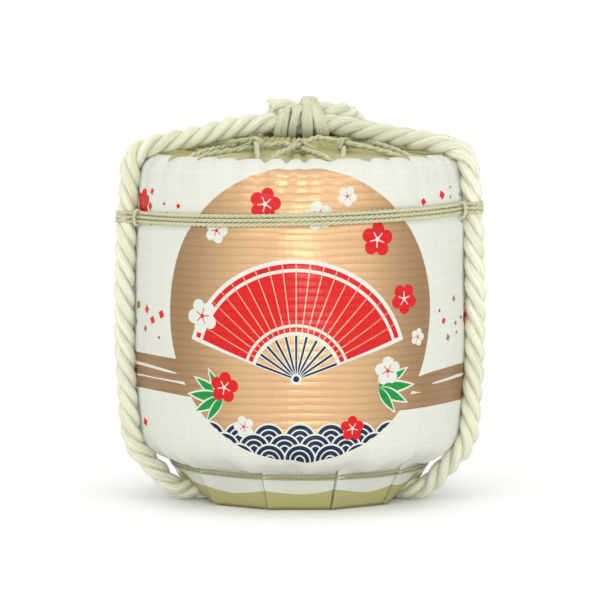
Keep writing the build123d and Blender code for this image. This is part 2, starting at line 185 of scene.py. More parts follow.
straw_side = turned(
    "straw_side",
    [
        (153.0, 55.5), (160.0, 59.0), (169.0, 66.0), (176.0, 78.0), (180.5, 110.0), (184.0, 160.0),
        (185.6, 217.0), (184.0, 272.0), (180.0, 335.0), (177.5, 364.0), (175.2, 364.0), (167.0, 212.0),
        (158.5, 58.4), (153.0, 58.4), (153.0, 55.5),
    ],
)
straw_mat(straw_side, "side_mat")
straw_top = turned(
    "straw_top",
    [
        (0.0, 367.0), (90.0, 367.0), (172.0, 367.0), (172.5, 369.5), (164.0, 371.5), (150.0, 373.0),
        (120.0, 375.2), (80.0, 377.8), (52.0, 380.5), (40.0, 385.0), (28.0, 389.5), (12.0, 390.8),
        (0.0, 391.0),
    ],
)
straw_mat(straw_top, "top_mat")
foot_radius, foot_ring_step = 108, 4
straw_base = turned(
    "straw_base",
    [
        *[(r, 0.0) for r in range(0, foot_radius + 1, foot_ring_step)],
        (110.5, 1.5), (112.5, 6.0), (115.0, 12.0), (122.0, 24.0), (129.0, 36.0), (133.5, 43.0),
        (142.0, 48.0), (150.0, 51.0), (152.0, 57.5), (0.0, 57.5),
    ],
    steps=160,
)
# The rope presses three channels into the foot, from the middle out to its legs, which stand at
# these angles from the middle of the front.
leg_azimuths = (72, -72, 155)
rope_floor = 0.0126  # height of the rope's middle where it lies under the foot
leg_foot_radius, channel_radius = 0.1434, 0.0130
channel_middle = Vector((0, -0.010, 0))
for vert in straw_base.data.vertices:
    for azimuth in leg_azimuths:
        a = math.radians(azimuth)
        way = Vector((math.sin(a), -math.cos(a), 0)) * leg_foot_radius - channel_middle
        flat = Vector((vert.co.x, vert.co.y, 0)) - channel_middle
        off = (flat - way * max(0.0, min(1.0, flat.dot(way) / way.dot(way)))).length
        if off < channel_radius:
            vert.co.z = max(vert.co.z, rope_floor + math.sqrt(channel_radius**2 - off**2))
straw_mat(straw_base, "base_mat")

# Printed cover: one woven sheet laid round the straw, gathered over the top and tied in above
# a skirt of eleven pleats. Woven tape of white polypropylene, with a print in satin inks.
belly = 0.190
sheet_width = 2 * math.pi * belly
sheet_thickness = 0.0012


def smooth_line(points):
    """Points along a smooth spline, in metres, with the given control points in mm."""
    curve = bpy.data.curves.new("line", "CURVE")
    curve.dimensions = "3D"
    spline = curve.splines.new("NURBS")
    spline.points.add(len(points) - 1)
    for control, point in zip(spline.points, points):
        control.co = (*[c / 1000 for c in point], 1.0)
    spline.order_u = 3
    spline.use_endpoint_u = True
    spline.resolution_u = 16
    holder = bpy.data.objects.new("line", curve)
    mesh = bpy.data.meshes.new_from_object(holder)
    line = np.array([vert.co[:] for vert in mesh.vertices])
    bpy.data.objects.remove(holder)
    bpy.data.curves.remove(curve)
    bpy.data.meshes.remove(mesh)
    return line


def evenly(line, step):
    """The same line with points an even step apart, and their distances along it."""
    pieces = np.linalg.norm(np.diff(line, axis=0), axis=1)
    line = line[np.concatenate([[True], pieces > 1e-9])]
    run = np.concatenate([[0.0], np.cumsum(np.linalg.norm(np.diff(line, axis=0), axis=1))])
    places = np.linspace(0, run[-1], max(2, round(run[-1] / step) + 1))
    return np.stack([np.interp(places, run, line[:, k]) for k in range(3)], axis=1), places


# Half outline of the sheet from its hem, over neck, bulge, belly and shoulder, to its eye.
sheet_outline = [
    (119.6, 1.0), (126.5, 13.5), (138.0, 34.4), (143.0, 43.5), (149.0, 46.4), (181.6, 62.0), (185.4, 102.5),
    (188.6, 150.0), (190.2, 217.0), (188.6, 285.0), (184.0, 346.0), (181.0, 377.5), (149.0, 379.8),
    (100.0, 383.8), (66.0, 387.2), (55.0, 390.0), (47.5, 396.0), (41.0, 399.0),
]
outline, outline_run = evenly(smooth_line([(r, 0, z) for r, z in sheet_outline]), 0.001)
outline_r, outline_z = outline[:, 0], outline[:, 2]
slope_r, slope_z = np.gradient(outline_r), np.gradient(outline_z)
slope = np.hypot(slope_r, slope_z)
sheet_length = outline_run[-1]


def run_at(height_mm):
    """Distance along the sheet from its hem to a height."""
    return np.interp(np.asarray(height_mm) / 1000, outline_z, outline_run)


neck, bulge, shoulder = run_at(43.5), run_at(80.0), run_at(374.0)
legs = np.radians(leg_azimuths)
pleat_count = 11
pleat_step = 2 * math.pi / pleat_count
hem_radius, arch_radius, arch_rise, arch_spread = 0.122, 0.0122, 0.0120, 0.017
band_height, band_tilt = 0.317, 0.0044  # the band hangs a little lower on the left


def wrapped(angle):
    return (angle + math.pi) % (2 * math.pi) - math.pi


def ease(value, low, high):
    """Smooth step from 0 at low to 1 at high."""
    share = np.clip((value - low) / (high - low), 0, 1)
    return share * share * (3 - 2 * share)


def bell(value, middle, width):
    """Smooth hump of height 1."""
    return np.exp(-(((value - middle) / width) ** 2))


def hem_lift(turn):
    """The hem rises beside each leg of the rope and arches over it."""
    lift = np.zeros_like(turn)
    for leg in legs:
        off = np.abs(wrapped(turn - leg)) * hem_radius
        arch = rope_floor + np.sqrt(np.clip(arch_radius**2 - off**2, 0, None))
        beside = arch_rise * bell(off, arch_radius, arch_spread)
        lift = np.maximum(lift, np.where(off < arch_radius, arch, beside))
    return lift


def gathers(turn):
    """Creases where the sheet is drawn together on top: 1 in a crease, 0 between two."""
    phase = 38 * turn + 1.5 * np.sin(5 * turn + 1.0) + 1.1 * np.sin(11 * turn + 0.3)
    depth = 0.66 + 0.22 * np.sin(7 * turn + 2.0) + 0.12 * np.sin(17 * turn)
    return depth * (0.5 - 0.5 * np.cos(phase)) ** 3


# waves of the side: how many round the barrel, length, size and phase
side_waves = [
    (3, 0.23, 0.0005, 0.4), (5, -0.17, 0.0005, 2.1), (9, 0.12, 0.0003, 4.4), (14, -0.09, 0.0002, 1.2),
]
# a few deeper creases that run from the shoulder down the side: angle, depth and reach
shoulder_creases = [
    (-44, 0.0020, 0.07), (-3, 0.0024, 0.04), (23, 0.0016, 0.03), (50, 0.0019, 0.06), (104, 0.0020, 0.05),
    (-110, 0.0022, 0.06), (-150, 0.0018, 0.05), (171, 0.0020, 0.06),
]


def stand_off(turn, run):
    """How far the sheet stands off its plain outline."""
    height = np.interp(run, outline_run, outline_z)
    side = ease(run, bulge - 0.02, bulge + 0.03) * (1 - ease(run, shoulder - 0.03, shoulder))
    off = np.zeros_like(turn)
    for waves, length, size, phase in side_waves:
        off += side * size * np.sin(waves * turn + 2 * math.pi * run / length + phase)
    # the cord of the band presses in and the sheet swells above and below it
    band = height - (band_height + band_tilt * np.sin(turn))
    off += 0.0006 * bell(np.abs(band), 0.016, 0.007) - 0.0009 * bell(band, 0, 0.007)
    # it swells beside the legs of the rope as well
    for leg in legs:
        off += side * 0.0014 * bell(np.abs(wrapped(turn - leg)) * belly, 0.015, 0.006)
    # soft upright puckers under the shoulder, rolls over its edge, and creases on the top
    crease = gathers(turn)
    pucker = ease(run, shoulder - 0.06, shoulder - 0.005) * (1 - ease(run, shoulder, shoulder + 0.02))
    roll = bell(run, shoulder + 0.012, 0.013)
    on_top = ease(run, shoulder + 0.004, shoulder + 0.024)
    puff = bell(run, shoulder + 0.045, 0.022)
    off -= 0.0022 * pucker * crease
    off += 0.0022 * roll * (1 - crease)
    off -= on_top * (0.0006 + 0.0042 * crease)
    off += 0.0028 * puff * (0.4 + 0.6 * np.sin(19 * turn + 1.4 * np.sin(6 * turn))) * (1 - crease)
    for leg in legs:
        off -= 0.0022 * (roll + puff) * bell(wrapped(turn - leg), 0, 0.09)
    over_edge = 1 - ease(run, shoulder + 0.004, shoulder + 0.02)
    for azimuth, depth, reach in shoulder_creases:
        along = ease(run, shoulder - reach, shoulder - 0.004) * over_edge
        off -= depth * along * bell(wrapped(turn - math.radians(azimuth)), 0, 0.026)
    # folds that run into the tied neck, under the bulge
    folds = 0.6 * np.sin(13 * turn + 0.8 * np.sin(4 * turn))
    folds += 0.4 * np.sin(29 * turn + 1.1 * np.sin(7 * turn))
    drawn = ease(run, neck - 0.002, neck + 0.009) * (1 - ease(run, neck + 0.014, bulge + 0.012))
    off += drawn * (0.0010 + 0.0034 * folds)
    off -= 0.0018 * bell(run, neck, 0.004)
    return off


def skirt_change(turn, run):
    """Flat panels between the pleats, each lapping over the one before it."""
    place = (turn / pleat_step - 0.5) % 1.0
    flat = math.cos(pleat_step / 2) / np.cos((place - 0.5) * pleat_step)
    low = 1 - ease(run, 0.0, neck + 0.004)
    lap = 0.0030 * np.clip(1 - place / 0.30, 0, 1) ** 1.3 - 0.0036 * np.clip((place - 0.976) / 0.024, 0, 1)
    return 1 + 0.75 * low * (flat - 1), lap * (1 - ease(run, neck - 0.002, neck + 0.014))


seam_turn, seam_lap = 0.10, 0.0012  # how far the ends of the sheet lap at the back, and how high
collar_width, collar_rise = 0.016, 0.0060


def round_axis(r, turn, z):
    """Points round the barrel's axis, by their turn from the middle of the front."""
    return np.stack([r * np.sin(turn), -r * np.cos(turn), z], axis=1)


def on_barrel(across, run):
    """Where a point of the flat sheet lies on the barrel."""
    turn = across / belly
    lift = hem_lift(turn)
    raised = np.where(run < neck, lift + run * (neck - lift) / neck, run)
    off = stand_off(turn, raised)
    r = np.interp(raised, outline_run, outline_r)
    z = np.interp(raised, outline_run, outline_z)
    out_r = np.interp(raised, outline_run, slope_z / slope)
    out_z = np.interp(raised, outline_run, -slope_r / slope)
    narrowed, lap = skirt_change(turn, raised)
    r = (r + out_r * off) * narrowed + lap
    r = r + seam_lap * np.clip(1 - (math.pi - turn) / seam_turn, 0, 1)
    # the collar round the eye stands up behind the knot
    collar = ease(raised, sheet_length - collar_width, sheet_length)
    z = z + collar_rise * collar * ease(np.abs(turn), 1.60, 1.95)
    return round_axis(r, turn, z + out_z * off)


# The print is drawn in mm on the flat sheet: across from the middle of the front, up from the floor.
def circle(x, y, radius, start=0.0, end=360.0, step=2.5):
    count = max(6, round(radius * math.radians(end - start) / step))
    whole = abs(end - start - 360) < 1e-6
    return [
        (x + radius * math.cos(a), y + radius * math.sin(a))
        for a in np.radians(np.linspace(start, end, count + 1)[: count if whole else count + 1])
    ]


def placed(shape, x, y, turn=0.0, size=1.0):
    c, s = math.cos(math.radians(turn)) * size, math.sin(math.radians(turn)) * size
    return [(x + c * px - s * py, y + s * px + c * py) for px, py in shape]


def bar(start, end, half):
    """Straight bar along the first axis."""
    return [(start, -half), (end, -half), (end, half), (start, half)]


def leaf(length, width):
    """Pointed leaf from its stalk."""
    along = np.linspace(0, 1, 13)
    half = width / 2 * np.sin(math.pi * along**0.75) ** 0.9
    upper = [(length * a, h) for a, h in zip(along, half)]
    return upper + [(length * a, -h) for a, h in zip(along[-2:0:-1], half[-2:0:-1])]


def mist(x0, x1, y, height):
    """Long streak of mist, a little bowed, with round ends."""
    bow = 5
    along = np.sin(np.linspace(-math.pi / 2, math.pi / 2, max(13, round(abs(x1 - x0) / 5))))
    half = height / 2 * np.sqrt(1 - along**6)
    middle = y + bow * (1 - along**2)
    x = (x0 + x1) / 2 + along * abs(x1 - x0) / 2
    upper = list(zip(x.tolist(), (middle + half).tolist()))
    lower = list(zip(x.tolist(), (middle - half).tolist()))
    return lower + upper[-2:0:-1]


WHITE, MARGIN, GOLD, RED, NAVY, GREEN = range(6)
print_shapes = []  # outline, ink and the outline that it is cut off at


def draw(shape, ink, inside=None):
    print_shapes.append((shape, ink, inside))


sun_height, sun_radius, print_top = 217, 156, 371.0
sun = circle(0, sun_height, sun_radius, step=3.0)
draw([(x, min(y, print_top)) for x, y in sun], GOLD)
# mist that drifts in from both sides and goes on round the back, with thin streaks left white in it
for x0, x1, y, height in [
    (-360, -70, 150, 24), (-290, -110, 130, 13), (-430, -236, 250, 15), (90, 330, 118, 17),
    (125, 420, 138, 24), (238, 470, 284, 11), (290, 590, 232, 17), (350, 560, 214, 8), (-592, -310, 190, 17),
    (-540, -370, 209, 8), (440, 592, 136, 12),
]:
    draw(mist(x0, x1, y, height), GOLD)
for x0, x1, y, height in [
    (-330, -147, 150, 3.2), (160, 390, 138, 3.2), (-560, -440, 190, 2.2), (400, 560, 232, 2.2),
]:
    draw(mist(x0, x1, y, height), WHITE)
# waves in the foot of the sun: rows of scales, each row lapping over the one above
wave_step, wave_row, wave_top = 34, 11, 84
wave_rings = [(18.5, WHITE), (16.5, NAVY), (12.2, WHITE), (10.6, NAVY), (6.4, WHITE), (4.8, NAVY)]
for row in range(3):
    for column in range(-3, 4):
        x, y = column * wave_step + (wave_step / 2 if row % 2 else 0), wave_top - row * wave_row
        for ring, ink in wave_rings:
            draw(circle(x, y, ring), ink, inside=sun)
# folding fan in the middle of the sun
fan_x, fan_y, fan_out, fan_in, fan_from, fan_to, fan_folds = -4, 150, 122, 50, 20, 160, 20


def fan_piece(inner, outer, start, end):
    return circle(fan_x, fan_y, outer, start, end) + circle(fan_x, fan_y, inner, start, end)[::-1]


def fold_angle(fold):
    return fan_from + (fan_to - fan_from) * fold / fan_folds


for fold in range(0, fan_folds + 1, 2):
    for tail, thin, thick, ink in [(-6, 1.6, 2.4, WHITE), (-4, 0.8, 1.4, NAVY)]:
        stick = [(tail, -thin), (fan_in + 2, -thick), (fan_in + 2, thick), (tail, thin)]
        draw(placed(stick, fan_x, fan_y, fold_angle(fold)), ink)
draw(fan_piece(fan_in - 4, fan_out + 4.5, fan_from - 2.2, fan_to + 2.2), WHITE)
draw(fan_piece(fan_in, fan_out, fan_from, fan_to), RED)
draw(fan_piece(fan_out - 9, fan_out - 5.5, fan_from, fan_to), WHITE)
draw(fan_piece(fan_in + 5, fan_in + 8, fan_from, fan_to), WHITE)
for fold in range(1, fan_folds):
    draw(placed(bar(fan_in, fan_out, 0.55), fan_x, fan_y, fold_angle(fold)), GOLD)
draw(circle(fan_x, fan_y, 5.5), WHITE)
draw(circle(fan_x, fan_y, 3.4), NAVY)


def blossom(x, y, size, turn, petals, heart):
    """Five round petals about a ring of stamens."""
    petal_step, petal_at = 72, 0.58 * size
    for i in range(5):
        a = math.radians(turn + petal_step * i)
        draw(circle(x + petal_at * math.cos(a), y + petal_at * math.sin(a), 0.40 * size, step=1.8), petals)
    draw(circle(x, y, 0.42 * size, step=1.8), petals)
    for i in range(5):
        draw(placed(bar(0.1, 0.46, 0.03), x, y, turn + petal_step * (i + 0.5), size), heart)
    draw(circle(x, y, 0.13 * size, step=1.2), heart)


# sprays of bamboo leaves and blossoms beside the fan
leaf_sizes = (1.0, 1.1, 1.0, 0.85, 0.85)
for x, y, turns in [(-86, 128, (150, 178, 205, 120, 232)), (88, 138, (30, 2, -25, 62, -52))]:
    for turn, size in zip(turns, leaf_sizes):
        draw(placed(leaf(40, 12), x, y, turn, size * 1.06), WHITE)
        draw(placed(leaf(38, 9.5), x, y, turn, size), GREEN)
for x, y, size, turn, petals, heart in [
    (-84, 139, 17, 10, RED, WHITE), (-110, 214, 19, 40, WHITE, RED), (-93, 305, 14, 0, WHITE, RED),
    (98, 156, 16, 22, WHITE, RED), (118, 232, 17, 55, RED, WHITE), (86, 296, 19, 12, RED, WHITE),
    (20, 322, 16, 30, WHITE, RED), (-38, 334, 18, 5, RED, WHITE), (52, 342, 11, 60, WHITE, RED),
    (-62, 98, 12, 33, WHITE, RED), (58, 96, 14, 18, RED, WHITE), (137, 190, 10, 0, WHITE, RED),
    (-215, 330, 15, 14, RED, GOLD), (240, 205, 16, 48, RED, GOLD), (-380, 120, 19, 20, RED, GOLD),
    (415, 300, 18, 70, RED, GOLD), (-520, 300, 17, 36, RED, GOLD), (540, 90, 15, 8, RED, GOLD),
]:
    blossom(x, y, size, turn, petals, heart)
# cut squares of leaf strewn over the sides, none touching another
scatter = random.Random(7)
for x, y, spread, count in [
    (-185, 322, 20, 9), (-196, 206, 16, 7), (190, 336, 18, 9), (196, 214, 16, 7), (-300, 300, 45, 12),
    (310, 330, 40, 10), (-330, 95, 40, 10), (330, 85, 45, 11), (-470, 240, 50, 12), (470, 210, 50, 12),
    (560, 320, 40, 9), (-555, 110, 40, 9),
]:
    strewn = []
    while len(strewn) < count:
        size = scatter.choice([3.5, 4.5, 6.0, 7.5])
        px = x + scatter.gauss(0, spread)
        py = y + scatter.gauss(0, spread * 0.6)
        if all(math.hypot(px - qx, py - qy) > size + other + 1 for qx, qy, other in strewn):
            strewn.append((px, py, size))
            square = placed(bar(-0.5, 0.5, 0.5), px, py, scatter.uniform(15, 75), size)
            draw(square, scatter.choice([RED, GOLD]))


def margin_low(x):
    """Lower edge of the white field, above the coloured margin of the hem."""
    turn = x / 1000 / belly
    place = (turn / pleat_step - 0.5) % 1.0
    rise = 7.0 * np.abs(2 * place - 1) ** 1.5
    return 18.5 + rise + 1.2 * np.sin(3 * turn + 0.8) + 0.7 * np.sin(13 * turn + 2.0)


def margin_high(x):
    """Upper edge of the white field, where the coloured margin is drawn over the top."""
    turn = x / 1000 / belly
    uneven = 2.2 * np.sin(9 * turn) + 1.6 * np.sin(23 * turn + 1.0)
    return shoulder * 1000 + 17.5 - 11.0 * gathers(turn) + uneven


flat_points, flat_edges = [], []


def outline_edges(points, closed=True):
    first = len(flat_points)
    flat_points.extend(points)
    flat_edges.extend((first + i, first + i + 1) for i in range(len(points) - 1))
    if closed:
        flat_edges.append((first + len(points) - 1, first))


def finely(points, step=4.0):
    """Long straight edges get points between."""
    dense = []
    for (ax, ay), (bx, by) in zip(points, points[1:] + points[:1]):
        parts = max(1, round(math.hypot(bx - ax, by - ay) / step))
        dense += [(ax + (bx - ax) * i / parts, ay + (by - ay) * i / parts) for i in range(parts)]
    return dense


def to_run(points):
    """Heights above the floor become distances along the sheet."""
    heights = run_at([y for _, y in points]) * 1000
    return [(x, float(h)) for (x, _), h in zip(points, heights)]


print_shapes = [
    (to_run(shape), ink, None if inside is None else to_run(inside)) for shape, ink, inside in print_shapes
]
for shape, ink, inside in print_shapes:
    outline_edges(finely(shape))
half_width = sheet_width * 500
margin_line = np.linspace(-half_width, half_width, 601)
outline_edges([(float(x), float(margin_low(x))) for x in margin_line], closed=False)
outline_edges([(float(x), float(margin_high(x))) for x in margin_line], closed=False)
# columns of points close to the edge of each pleat keep its fold sharp
for i in range(pleat_count):
    at = float(wrapped(np.array((i + 0.5) * pleat_step)) * belly * 1000)
    for side in (-2.6, -1.4, -0.35, 0.35, 2.2):
        column = [(at + side, float(y)) for y in np.linspace(0, neck * 1000 + 6, 14)]
        outline_edges(column, closed=False)
# elsewhere the sheet is a grid of even rows, set off by half a step in turn
row_step, columns, clear_of_edges = 4.5, 210, 1.6
near = kdtree.KDTree(len(flat_points))
for i, (x, y) in enumerate(flat_points):
    near.insert((x, y, 0), i)
near.balance()
grid_rows = np.linspace(0, sheet_length * 1000, round(sheet_length * 1000 / row_step) + 1)
for j, y in enumerate(grid_rows):
    for i in range(columns + 1):
        inner = 0 < i < columns
        shift = 0.5 if inner and j % 2 and i < columns - 1 else 0
        x = -half_width + 2 * half_width * (i + shift) / columns
        if inner and 0 < j < len(grid_rows) - 1 and near.find((x, y, 0))[2] < clear_of_edges:
            continue
        flat_points.append((x, float(y)))
flat, _, triangles, _, _, _ = geometry.delaunay_2d_cdt(
    [Vector(point) for point in flat_points], flat_edges, [], 0, 1e-4
)
flat = np.array([point[:] for point in flat])
triangles = np.array(triangles)
middles = flat[triangles].mean(axis=1)


def inside_outline(points, shape):
    """Which points lie within a closed outline."""
    shape = np.array(shape)
    found = np.zeros(len(points), bool)
    low, high = shape.min(axis=0), shape.max(axis=0)
    close = np.nonzero(np.all((points >= low) & (points <= high), axis=1))[0]
    x, y = points[close, 0][:, None], points[close, 1][:, None]
    ax, ay = shape[:, 0], shape[:, 1]
    bx, by = np.roll(ax, -1), np.roll(ay, -1)
    with np.errstate(divide="ignore", invalid="ignore"):
        crossing = ax + (y - ay) * (bx - ax) / (by - ay)
    found[close] = (((ay > y) != (by > y)) & (x < crossing)).sum(axis=1) % 2 == 1
    return found


inks = np.full(len(triangles), WHITE)
inks[middles[:, 1] < margin_low(middles[:, 0])] = MARGIN
inks[middles[:, 1] > margin_high(middles[:, 0])] = MARGIN
for shape, ink, inside in print_shapes:
    chosen = inside_outline(middles, shape)
    if inside is not None:
        chosen &= inside_outline(middles, inside)
    inks[chosen] = ink

sheet_mesh = bpy.data.meshes.new("sheet_cover")
sheet_mesh.from_pydata(on_barrel(flat[:, 0] / 1000, flat[:, 1] / 1000).tolist(), [], triangles.tolist())
sheet_mesh.polygons.foreach_set("material_index", inks.astype(np.int32))
sheet_mesh.polygons.foreach_set("use_smooth", np.ones(len(triangles), bool))
corners = np.zeros(len(sheet_mesh.loops), np.int32)
sheet_mesh.loops.foreach_get("vertex_index", corners)
flat_uv = (flat[corners] / 1000).astype(np.float32).ravel()
sheet_mesh.uv_layers.new(name="flat_sheet").data.foreach_set("uv", flat_uv)
sheet_form = bmesh.new()
sheet_form.from_mesh(sheet_mesh)
at_back = [v for v in sheet_form.verts if v.co.y > 0 and abs(v.co.x) < 0.004]
bmesh.ops.remove_doubles(sheet_form, verts=at_back, dist=3e-5)
sheet_form.to_mesh(sheet_mesh)
sheet_form.free()
sheet_mesh.set_sharp_from_angle(angle=math.radians(48))
cover = put("sheet_cover", sheet_mesh)
wall = cover.modifiers.new("sheet_thickness", "SOLIDIFY")
wall.thickness = sheet_thickness
wall.offset = -1.0


def printed_tape(name, colour, roughness, gloss_level, metallic, rib, side_shade_colour):
    """Woven tape, ribbed every 8 mm by the straw rows under it, with fine threads that break up the ink."""
    rib_step, rib_sway = 0.0083, 0.0035
    aside_by = (0.137, 0.291, 0.5)  # keeps the noise off its own lattice, where it is flat
    material, tree, shader = new_material(name)
    flat_map = add(tree, "UVMap", uv_map="flat_sheet")
    axes = add(tree, "SeparateXYZ", {0: flat_map})
    # The rows of straw are uneven, so their ribs wander by a millimetre or two. The threads are 0.8 mm
    # in the real tape and are drawn 2.4 and 1.8 mm wide, so that they show.
    noises = []
    for width, height in [(0.05, 0.02), (0.0024, 0.045), (0.03, 0.0018)]:
        at = add(
            tree, "Mapping", {"Vector": flat_map, "Scale": (1 / width, 1 / height, 1), "Location": aside_by}
        )
        noises.append(add(tree, "TexNoise", {"Vector": at, "Scale": 1.0, "Detail": 2.0}))
    sway, threads, weft = noises
    shifted = add(tree, "Math", {0: sway, 1: rib_sway, 2: axes.outputs[1]}, operation="MULTIPLY_ADD")
    turns = add(tree, "Math", {0: shifted, 1: math.pi / rib_step}, operation="MULTIPLY")
    swing = add(tree, "Math", {0: turns}, operation="SINE")
    ribs = add(tree, "Math", {0: swing}, operation="ABSOLUTE")
    woven = add(tree, "Math", {0: threads, 1: weft}, operation="ADD")
    raised = add(tree, "Math", {0: ribs, 1: rib, 2: woven}, operation="MULTIPLY_ADD")
    relief = add(tree, "Bump", {"Height": raised, "Strength": 0.4, "Distance": 0.0005})
    # the ink is worn on the threads, and painted shade darkens it in the hollows between the ribs
    worn = add(tree, "MapRange", {0: woven, 1: 0.6, 2: 1.4, 3: 0.955, 4: 1.025})
    rib_hollow_shade = add(
        tree,
        "MapRange",
        {0: ribs, 1: 0.0, 2: 0.8, 3: 1 - 0.08 * rib, 4: 1.0},
        interpolation_type="SMOOTHSTEP",
    )
    shade = add(tree, "Math", {0: worn, 1: rib_hollow_shade}, operation="MULTIPLY")
    ink = linear(colour)
    if side_shade_colour:
        # painted shade: this ink turns a darker brown towards the sides, where the round barrel turns away
        # from the lamps
        aside = add(tree, "Math", {0: axes.outputs[0]}, operation="ABSOLUTE")
        far = add(tree, "MapRange", {0: aside, 1: 0.04, 2: 0.16}, interpolation_type="SMOOTHSTEP")
        blend = add(tree, "Mix", {0: far, 6: ink, 7: linear(side_shade_colour)}, data_type="RGBA")
        ink = blend.outputs[2]
    tint = add(tree, "Mix", {0: 1.0, 6: ink, 7: shade}, data_type="RGBA", blend_type="MULTIPLY")
    gloss = add(tree, "MapRange", {0: woven, 1: 0.6, 2: 1.4, 3: roughness + 0.08, 4: roughness - 0.08})
    plug(tree, shader, {"Base Color": tint.outputs[2], "Roughness": gloss, "Normal": relief})
    plug(tree, shader, {"Metallic": metallic, "Specular IOR Level": gloss_level})
    return material


# the last column is a painted shade that darkens an ink towards the sides of the barrel
for name, colour, roughness, gloss_level, metallic, rib, side_shade_colour in [
    ("white_woven_tape", "#CFD1C6", 0.50, 0.25, 0.0, 0.3, None),
    ("sage_woven_tape", "#ABA672", 0.50, 0.25, 0.0, 0.25, None),
    ("gold_satin_ink", "#CCA67B", 0.34, 0.50, 0.5, 1.6, "#94744F"),
    ("red_satin_ink", "#C8040E", 0.24, 0.32, 0.0, 1.5, None),
    ("navy_satin_ink", "#08203F", 0.30, 0.25, 0.0, 1.0, None),
    ("green_satin_ink", "#0E8634", 0.30, 0.25, 0.0, 1.0, None),
]:
    sheet_mesh.materials.append(printed_tape(name, colour, roughness, gloss_level, metallic, rib, side_shade_colour))
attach(cover, "barrel")
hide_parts("printed_cover")


# Tie cord: a thin twisted straw cord wound twice round the neck above the skirt.
# Two strands laid together, drawn tight so that it sinks into the sheet. Its straw is painted darker, a
# painted shade for the bulge that overhangs it.
def line_axes(line):
    """Directions along a line, and two across it that don't turn about it."""
    ways = np.gradient(line, axis=0)
    ways /= np.linalg.norm(ways, axis=1)[:, None]
    first = np.cross(ways[0], [0.0, 0.0, 1.0] if abs(ways[0][2]) < 0.9 else [1.0, 0.0, 0.0])
    across = [first / np.linalg.norm(first)]
    for way in ways[1:]:
        moved = across[-1] - way * across[-1].dot(way)
        across.append(moved / np.linalg.norm(moved))
    across = np.array(across)
    return ways, across, np.cross(ways, across)


def laid(line, run, count, offset, lay):
    """Centre lines of strands laid round a line, one turn in each length of lay."""
    _, across, up = line_axes(line)
    strands = []
    for k in range(count):
        angle = -2 * math.pi * run / lay + 2 * math.pi * k / count
        strands.append(line + offset * (np.cos(angle)[:, None] * across + np.sin(angle)[:, None] * up))
    return strands


def tubes(name, lines, radius, sides=8, uneven=0.05, seed=1, shares=None):
    """One mesh of round strands along the lines, with a map in metres round and along each strand.

    The strands are uneven by chance, and shares gives each line's thickness against the radius."""
    chance = np.random.default_rng(seed)
    curve = bpy.data.curves.new(name, "CURVE")
    curve.dimensions = "3D"
    curve.bevel_depth = radius
    curve.bevel_resolution = sides // 2 - 2
    curve.use_fill_caps = True
    for line, share in zip(lines, shares or [1.0] * len(lines)):
        spline = curve.splines.new("POLY")
        spline.points.add(len(line) - 1)
        spline.points.foreach_set("co", np.column_stack([line, np.ones(len(line))]).ravel())
        every = np.arange(0, len(line) + 6, 6)
        bumps = np.interp(np.arange(len(line)), every, chance.normal(0, uneven, len(every)))
        spline.points.foreach_set("radius", share * np.clip(1 + bumps, 0.8, 1.15))
    holder = bpy.data.objects.new(name + "_line", curve)
    mesh = bpy.data.meshes.new_from_object(holder)
    mesh.name = name
    bpy.data.objects.remove(holder)
    bpy.data.curves.remove(curve)
    length = max(np.linalg.norm(np.diff(line, axis=0), axis=1).sum() for line in lines)
    places = np.zeros(len(mesh.loops) * 2, np.float32)
    mesh.uv_layers[0].data.foreach_get("uv", places)
    places = places.reshape(-1, 2) * np.array([2 * math.pi * radius, length], np.float32)
    mesh.uv_layers[0].data.foreach_set("uv", places.ravel())
    mesh.uv_layers[0].name = "strand"
    mesh.polygons.foreach_set("use_smooth", np.ones(len(mesh.polygons), bool))
    return put(name, mesh)


def straw_fibre(name, pale, middle, dark, fibre, length):
    """Dry laid fibre: long pale and green-grey streaks, matt, with a soft sheen where the light grazes it."""
    material, tree, shader = new_material(name)
    strand = add(tree, "UVMap", uv_map="strand")
    noises = []
    for scale, detail, rough in [
        ((1 / fibre, 1 / length, 1), 4.0, 0.6),
        ((0.25 / fibre, 0.4 / length, 1), 2.0, 0.5),
    ]:
        at = add(tree, "Mapping", {"Vector": strand, "Scale": scale})
        settings = {"Vector": at, "Scale": 1.0, "Detail": detail, "Roughness": rough}
        noises.append(add(tree, "TexNoise", settings))
    fine, broad = noises
    tone = add(tree, "MapRange", {0: broad, 1: 0.36, 2: 0.64, 3: 0.0, 4: 1.0})
    body = add(tree, "Mix", {0: tone, 6: linear(middle), 7: linear(pale)}, data_type="RGBA")
    streak = add(tree, "MapRange", {0: fine, 1: 0.35, 2: 0.65, 3: 0.0, 4: 1.0})
    shade = add(tree, "MapRange", {0: streak, 1: 0.0, 2: 0.5, 3: 0.75, 4: 0.0})
    colour = add(tree, "Mix", {0: shade, 6: body.outputs[2], 7: linear(dark)}, data_type="RGBA")
    relief = add(tree, "Bump", {"Height": fine, "Strength": 0.9, "Distance": fibre})
    plug(tree, shader, {"Base Color": colour.outputs[2], "Normal": relief, "Roughness": 0.62})
    plug(tree, shader, {"Sheen Weight": 0.15})
    return material


def tied(piece, node, material):
    piece.data.materials.clear()
    piece.data.materials.append(material)
    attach(piece, "barrel")
    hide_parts(node)


